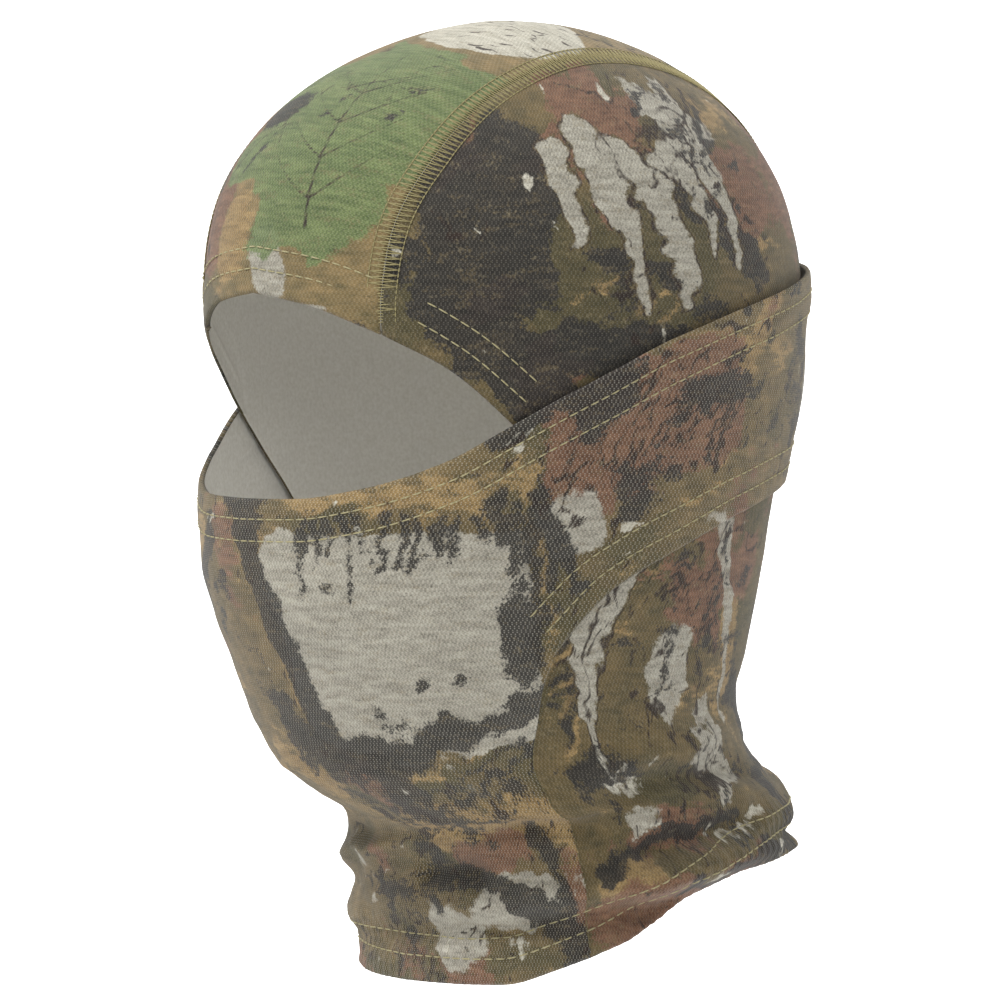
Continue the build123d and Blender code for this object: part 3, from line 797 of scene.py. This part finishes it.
def hood_relief(angle, z):
    low = edge_distance(HEM, angle, z)
    brow = edge_distance(BROW, angle, z)
    near_brow = (np.abs(angle) < 60) & (z > -40)
    return (folds(angle, z) + soft_wrinkles(angle, z, 0.35) + hem(low, BOTTOM_ROWS, HOOD_HEM)
            + np.where(near_brow, hem(np.maximum(brow, 0), BROW_ROWS, HOOD_HEM), 0)
            + 0.16 * np.sin(angle * 2.1) * (1 - ease(12, 22, low)))


def hood_at(angle, z, extra=0.0):
    return around(angle, z, HOOD + hood_relief(angle, z) + extra)


def cover_relief(angle, z):
    top = -edge_distance(COVER_TOP, angle, z)
    low = edge_distance(COVER_BOTTOM, angle, z)
    band = ease(66, 72, np.abs(angle))
    pull = 0.9 * band * fbm(angle * 0.8 - z * 1.2, z * 0.6 + angle * 0.5, 20, 12, 2)
    return (folds(angle, z) * (1 - band) + soft_wrinkles(angle, z, 0.4) + pull
            + hem(top, COVER_ROWS, COVER_HEM) + band * hem(low, COVER_ROWS, COVER_HEM))


def cover_at(angle, z, extra=0.0):
    return around(angle, z, cover_lift(angle, z) + cover_relief(angle, z) + extra)


def finish_cloth(o, cloth_mm):
    attribute = o.data.attributes.new("cloth_mm", "FLOAT_VECTOR", "POINT")
    both = np.concatenate([cloth_mm, cloth_mm])
    attribute.data.foreach_set("vector", np.c_[both, np.zeros(len(both))].astype(np.float32).ravel())
    return o


def thick(*distances):
    """Cloth thickness: doubled where it is folded into a hem."""
    t = np.full(distances[0].shape, CLOTH)
    for d in distances:
        t = t + 0.7 * (1 - ease(COVER_HEM, HOOD_HEM, d)) * (d > -5)
    return np.minimum(t, HEM_CLOTH)


def make_crown():
    """The strip over the head, from the brow to the back."""
    rows, cols = int(332 / CELL), int(94 / CELL)
    s, v = np.meshgrid(np.linspace(-1, 1, cols), np.linspace(0, 1, rows))
    edge = around(SEAM_BROW * s, smooth(BROW, np.abs(SEAM_BROW * s)), np.zeros_like(s))
    start = np.degrees(np.arctan2(edge[..., 2], -edge[..., 1]))
    turn = start + (CROWN_END - start) * v
    x = s * (smooth(CROWN_HALF, turn) - 0.1)
    d = (turn - start) * CROWN_DEGREE
    side = (1 - np.abs(s)) * smooth(CROWN_HALF, turn)
    lift = (HOOD + hem(d, BROW_ROWS, HOOD_HEM) + 0.3 * fbm(x, turn * CROWN_DEGREE, 26, 2, 3)
            - 0.4 * (1 - ease(0, 1.2, side)))
    points = over(x, turn, lift).reshape(-1, 3)
    cloth_mm = np.stack([x, turn * CROWN_DEGREE], -1).reshape(-1, 2)
    ink = print_crown(cloth_mm[:, 0], cloth_mm[:, 1])
    o = shell("crown_cloth", points, grid_quads(np.arange(rows * cols).reshape(rows, cols)),
              cloth_mm * 0.01, ink, thick(d.ravel()), points, (crown_skin, lining))
    return finish_cloth(o, cloth_mm)


def seam_line(offset, count=240):
    """The crown seam's path as (angle around, height), moved outward by an offset."""
    _, y, z = around(SEAM_BROW, smooth(BROW, SEAM_BROW), 0.0)
    start = np.degrees(np.arctan2(z, -y))
    turn = np.linspace(start, CROWN_END, count)
    angle, height = to_form(over(smooth(CROWN_HALF, turn) + offset, turn, np.zeros(count)))
    return np.stack([angle, height], -1)


def make_side(s):
    """One side of the hood, filled in between its four edges; s is 1 for the left and -1 for the right."""
    rows, cols = int(250 / CELL), int(330 / CELL)
    top = seam_line(0.1)
    front = rounded([top[0]] + [BROW[3], BROW[4]] + FACE_HOLE[1:] + FRONT_SEAM[1:])
    low = front[-1]
    bottom = np.concatenate([[low], curve(HEM, low[0] + 3, 179.9)])
    back = np.array([top[-1], (179.9, -60), bottom[-1]])
    u, v = np.meshgrid(np.linspace(0, 1, cols), np.linspace(0, 1, rows))
    u, v = u[..., None], v[..., None]
    a, b = along(top, u[..., 0]), along(bottom, u[..., 0])
    c, d = along(front, v[..., 0]), along(back, v[..., 0])
    at = ((1 - v) * a + v * b + (1 - u) * c + u * d - (1 - u) * (1 - v) * top[0] - u * (1 - v) * top[-1]
          - (1 - u) * v * bottom[0] - u * v * bottom[-1])
    angle, z = at[..., 0], at[..., 1]
    extra = -0.4 * (1 - ease(0, 1.2, v[..., 0] * 250))
    signed = angle * s
    points = around(signed, z, HOOD + hood_relief(signed, z) + extra).reshape(-1, 3)
    cloth_mm = np.stack([angle * DEGREE * s, z], -1).reshape(-1, 2)
    ink = print_side(signed.ravel(), z.ravel(), s)
    outward = points - np.array([0, 20, 0])
    outward[:, 2] = np.where(points[:, 2] > 0, points[:, 2], 0)
    o = shell(("left" if s > 0 else "right") + "_side_cloth", points,
              grid_quads(np.arange(rows * cols).reshape(rows, cols)),
              cloth_mm * 0.01, ink, thick(edge_distance(HEM, angle, z).ravel()), outward,
              (side_skin, lining))
    return finish_cloth(o, cloth_mm)


def make_cover():
    """The T-shaped cover: the band and mask around the head, and the throat below, in one sheet.

    a, z and lift are the band and mask; a2, z2 and lift2 are the throat."""
    cols, rows, low_rows = int(540 / CELL) // 2 * 2 + 1, int(76 / CELL), int(66 / CELL)
    angles = np.linspace(-179.8, 179.8, cols)
    a, v = np.meshgrid(angles, np.linspace(0, 1, rows))
    top, low = smooth(COVER_TOP, np.abs(a)), smooth(COVER_BOTTOM, np.abs(a))
    z = top + (low - top) * v
    front = np.abs(angles) <= FRONT_EDGE
    reach = angles[front].max()
    share = angles[front] / reach
    seam = rounded(FRONT_SEAM)
    s, w = np.meshgrid(share, np.linspace(0, 1, low_rows)[1:])
    first, last = smooth(COVER_BOTTOM, FRONT_EDGE), smooth(HEM, FRONT_HEM)
    edge = np.interp(-(first + (last - first) * w), -seam[:, 1], seam[:, 0])
    a2 = s * (edge + 0.3) * (1 + (reach / 68.5 - 1) * (1 - w))
    top2 = smooth(COVER_BOTTOM, np.abs(s) * reach)
    z2 = top2 + (smooth(HEM, np.abs(s) * FRONT_HEM) - top2) * w
    lift = cover_lift(a, z) + cover_relief(a, z)
    hood = HOOD + hood_relief(a2, z2)
    over_lift = cover_lift(a2, z2) + folds(a2, z2) + soft_wrinkles(a2, z2, 0.4)
    lift2 = hood + (over_lift - hood) * (1 - ease(0, 0.35, w))
    points = np.concatenate([around(a, z, lift).reshape(-1, 3), around(a2, z2, lift2).reshape(-1, 3)])
    angle = np.concatenate([a.ravel(), a2.ravel()])
    height = np.concatenate([z.ravel(), z2.ravel()])
    ids = np.arange(rows * cols).reshape(rows, cols)
    below = rows * cols + np.arange(s.size).reshape(s.shape)
    throat = np.vstack([ids[-1][front][None], below])
    quads = np.concatenate([grid_quads(ids), grid_quads(throat)])
    cloth_mm = np.stack([angle * DEGREE, height], -1)
    ink = print_cover(angle, height)
    band = np.abs(angle) > 66
    thickness = thick(-edge_distance(COVER_TOP, angle, height),
                      np.where(band, edge_distance(COVER_BOTTOM, angle, height), 99),
                      edge_distance(HEM, angle, height))
    outward = points - np.array([0, 10, 0])
    outward[:, 2] = 0
    o = shell("cover_cloth", points, quads, cloth_mm * 0.01, ink, thickness, outward, (cover_skin, lining))
    return finish_cloth(o, cloth_mm)


# ---------------------------------------------------------------- stitches

def lengths(points):
    return np.r_[0, np.cumsum(np.linalg.norm(np.diff(points, axis=0), axis=1))]


def dashes_along(path, at, size=3.0, gap=0.75, lift=0.22):
    """Lockstitch dashes over the cloth along a path of (angle, height)."""
    marks = lengths(at(path[:, 0], path[:, 1]))
    out, start = [], 0.4
    while start + size < marks[-1]:
        m = np.linspace(start, start + size, 5)
        angle, z = np.interp(m, marks, path[:, 0]), np.interp(m, marks, path[:, 1])
        rise = np.array([-0.30, 0.8, 1.0, 0.8, -0.30]) * lift
        out.append(at(angle, z, rise))
        start += size + gap
    return out


def ladder(left, right, pitch=1.75, lift=0.25):
    """A flatlock seam: two chains and the thread that crosses between them. left and right give points."""
    marks = lengths(left)
    count = int(marks[-1] / pitch)
    at = np.linspace(0, marks[-1], 2 * count + 1)

    def pick(points, m):
        return np.stack([np.interp(m, marks, points[:, k]) for k in range(3)], -1)

    out = []
    for k in range(count):
        m0, m1, m2 = at[2 * k], at[2 * k + 1], at[2 * k + 2]
        a, b, c = pick(left, m0), pick(right, m1), pick(left, m2)
        middle = pick((left + right) / 2, (m0 + m1) / 2)
        out.append(np.stack([a, (a + middle) / 2, middle, (b + middle) / 2, b]))
        out.append(np.stack([b, (b + c) / 2, c]))
        for side in (left, right):
            out.append(np.stack([pick(side, m) for m in np.linspace(m0 + 0.15, m2 - 0.1, 4)]))
    return out


def mirror_paths(paths):
    return [p * np.array([-1, 1, 1]) for p in paths]


def crown_ladder():
    turn = np.linspace(-4, 193, 500)
    half = smooth(CROWN_HALF, turn)
    points = [over(half + k * 3.6, turn, np.full(turn.shape, HOOD + 0.22)) for k in (-1, 1)]
    height = points[0][:, 2]
    stop = np.argmax((turn > 120) & (height < 15)) or len(turn)
    return ladder(points[0][:stop], points[1][:stop])


def seam_ladder(path, at, half=3.4):
    sides = [beside(path, k * half) for k in (-1, 1)]
    return ladder(*[at(p[:, 0], p[:, 1], 0.2) for p in sides])


# ---------------------------------------------------------------- build

def on_hood(o, *nodes):
    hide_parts(*nodes)
    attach(o, "hood")
    return o


def on_cover(o, *nodes):
    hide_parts(*nodes)
    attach(o, "cover")
    return o


def pulled(o, *nodes):
    """Cloth or seam under the chin, which gathers when the cover comes down."""
    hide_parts(*nodes)
    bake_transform(o)
    return o


crown = on_hood(make_crown(), "crown_panel")
left = on_hood(make_side(1), "left_side_panel")
right = on_hood(make_side(-1), "right_side_panel")
cover = pulled(make_cover(), "face_cover", "front_neck_panel")


def hem_rows(table, start, end, insets, at, count=400):
    """Dashes along the rows of a hem; insets are measured from the cut edge, upward."""
    return sum([dashes_along(beside(curve(table, start, end, count), r), at) for r in insets], [])


crown_threads = crown_ladder()
brow = hem_rows(BROW, -SEAM_BROW + 4, SEAM_BROW - 4, BROW_ROWS, hood_at)
side_brow = hem_rows(BROW, SEAM_BROW + 4, 57.5, BROW_ROWS, hood_at)
top_rows = hem_rows(COVER_TOP, -177, 177, [-r for r in COVER_ROWS], cover_at, 900)
left_band = hem_rows(COVER_BOTTOM, 70, 178, COVER_ROWS, cover_at)
right_band = hem_rows(COVER_BOTTOM, -178, -70, COVER_ROWS, cover_at)
low_rows = hem_rows(HEM, -179, 179, BOTTOM_ROWS, hood_at, 900)
front_path = rounded(FRONT_SEAM, 200)[8:-6]
left_front = dashes_along(front_path, hood_at, 1.7, 0.5, 0.25)
right_front = dashes_along(front_path * np.array([-1, 1]), hood_at, 1.7, 0.5, 0.25)
back_path = np.stack([np.full(120, 180.0), np.linspace(-164, -60, 120)], -1)
band_path = np.stack([np.full(80, 180.0), np.linspace(-52, 12, 80)], -1)

on_hood(tubes("left_crown_thread", crown_threads, CROWN_THREAD, crown_thread), "left_crown_seam")
on_hood(tubes("right_crown_thread", mirror_paths(crown_threads), CROWN_THREAD, crown_thread),
        "right_crown_seam")
on_hood(tubes("brow_thread", brow, THREAD, thread), "brow_hem_stitching")
on_hood(tubes("left_brow_thread", side_brow, THREAD, thread), "left_brow_hem_stitching")
on_hood(tubes("right_brow_thread", mirror_paths(side_brow), THREAD, thread), "right_brow_hem_stitching")
on_cover(tubes("cover_top_thread", top_rows, THREAD, thread), "cover_top_hem_stitching")
on_cover(tubes("left_band_thread", left_band, THREAD, thread), "left_band_hem_stitching")
on_cover(tubes("right_band_thread", right_band, THREAD, thread), "right_band_hem_stitching")
pulled(tubes("left_front_thread", left_front, FRONT_THREAD, seam_thread), "left_front_seam")
pulled(tubes("right_front_thread", right_front, FRONT_THREAD, seam_thread), "right_front_seam")
on_hood(tubes("bottom_thread", low_rows, THREAD, thread), "bottom_hem_stitching")
on_hood(tubes("neck_back_thread", seam_ladder(back_path, hood_at), THREAD, thread), "neck_back_seam")
on_cover(tubes("band_back_thread", seam_ladder(band_path, cover_at), THREAD, thread), "band_back_seam")


# ---------------------------------------------------------------- studio

def stage_mesh(name, corners, material):
    mesh = bpy.data.meshes.new(name)
    mesh.from_pydata(corners, [], [(0, 1, 2, 3)])
    mesh.polygons.foreach_set("use_smooth", np.ones(len(mesh.polygons), bool))
    mesh.materials.append(material)
    o = bpy.data.objects.new(name, mesh)
    bpy.context.collection.objects.link(o)
    return o


backdrop = Nodes("backdrop")
backdrop.skin.inputs["Base Color"].default_value = (0.93, 0.93, 0.93, 1)
backdrop.skin.inputs["Roughness"].default_value = 1.0
floor = stage_mesh("floor", [(-9, -9, -0.62), (9, -9, -0.62), (9, 9, -0.62), (-9, 9, -0.62)],
                   backdrop.material)

glow = Nodes("white_wall")
glow.skin.inputs["Base Color"].default_value = (1, 1, 1, 1)
glow.skin.inputs["Emission Color"].default_value = (1, 1, 1, 1)
glow.skin.inputs["Emission Strength"].default_value = 0.9
wall = stage_mesh("wall", [(-4.2, -0.7, -3), (0.4, 4.8, -3), (0.4, 4.8, 4), (-4.2, -0.7, 4)],
                  glow.material)


def lamp(name, at, target, size, power):
    data = bpy.data.lights.new(name, "AREA")
    data.shape, data.size, data.energy = "DISK", size, power
    o = bpy.data.objects.new(name, data)
    o.location = at
    o.rotation_euler = (Vector(target) - Vector(at)).to_track_quat("-Z", "Y").to_euler()
    bpy.context.collection.objects.link(o)


lamp("key", (-0.2, -1.4, 1.7), (0, 0, -0.05), 0.5, 34)
lamp("fill", (1.9, -0.5, 0.5), (0, 0, -0.08), 0.8, 6)
lamp("top", (0.3, 0.4, 1.8), (0, 0, 0), 0.7, 7)

world = bpy.data.worlds.new("studio")
world.use_nodes = True
world.node_tree.nodes["Background"].inputs["Color"].default_value = (1, 1, 1, 1)
world.node_tree.nodes["Background"].inputs["Strength"].default_value = 0.66
bpy.context.scene.world = world
bpy.context.scene.view_settings.view_transform = "Standard"

AZIMUTH, ELEVATION, DISTANCE = np.radians(50), np.radians(0.8), 1.8
camera_data = bpy.data.cameras.new("camera")
camera_data.sensor_width = 36
camera_data.lens = 209.3
camera_data.shift_x, camera_data.shift_y = -0.002, -0.2
camera = bpy.data.objects.new("camera", camera_data)
camera.location = (DISTANCE * np.cos(ELEVATION) * np.sin(AZIMUTH),
                   -DISTANCE * np.cos(ELEVATION) * np.cos(AZIMUTH), DISTANCE * np.sin(ELEVATION))
camera.rotation_euler = (-camera.location).to_track_quat("-Z", "Y").to_euler()
bpy.context.collection.objects.link(camera)
bpy.context.scene.camera = camera
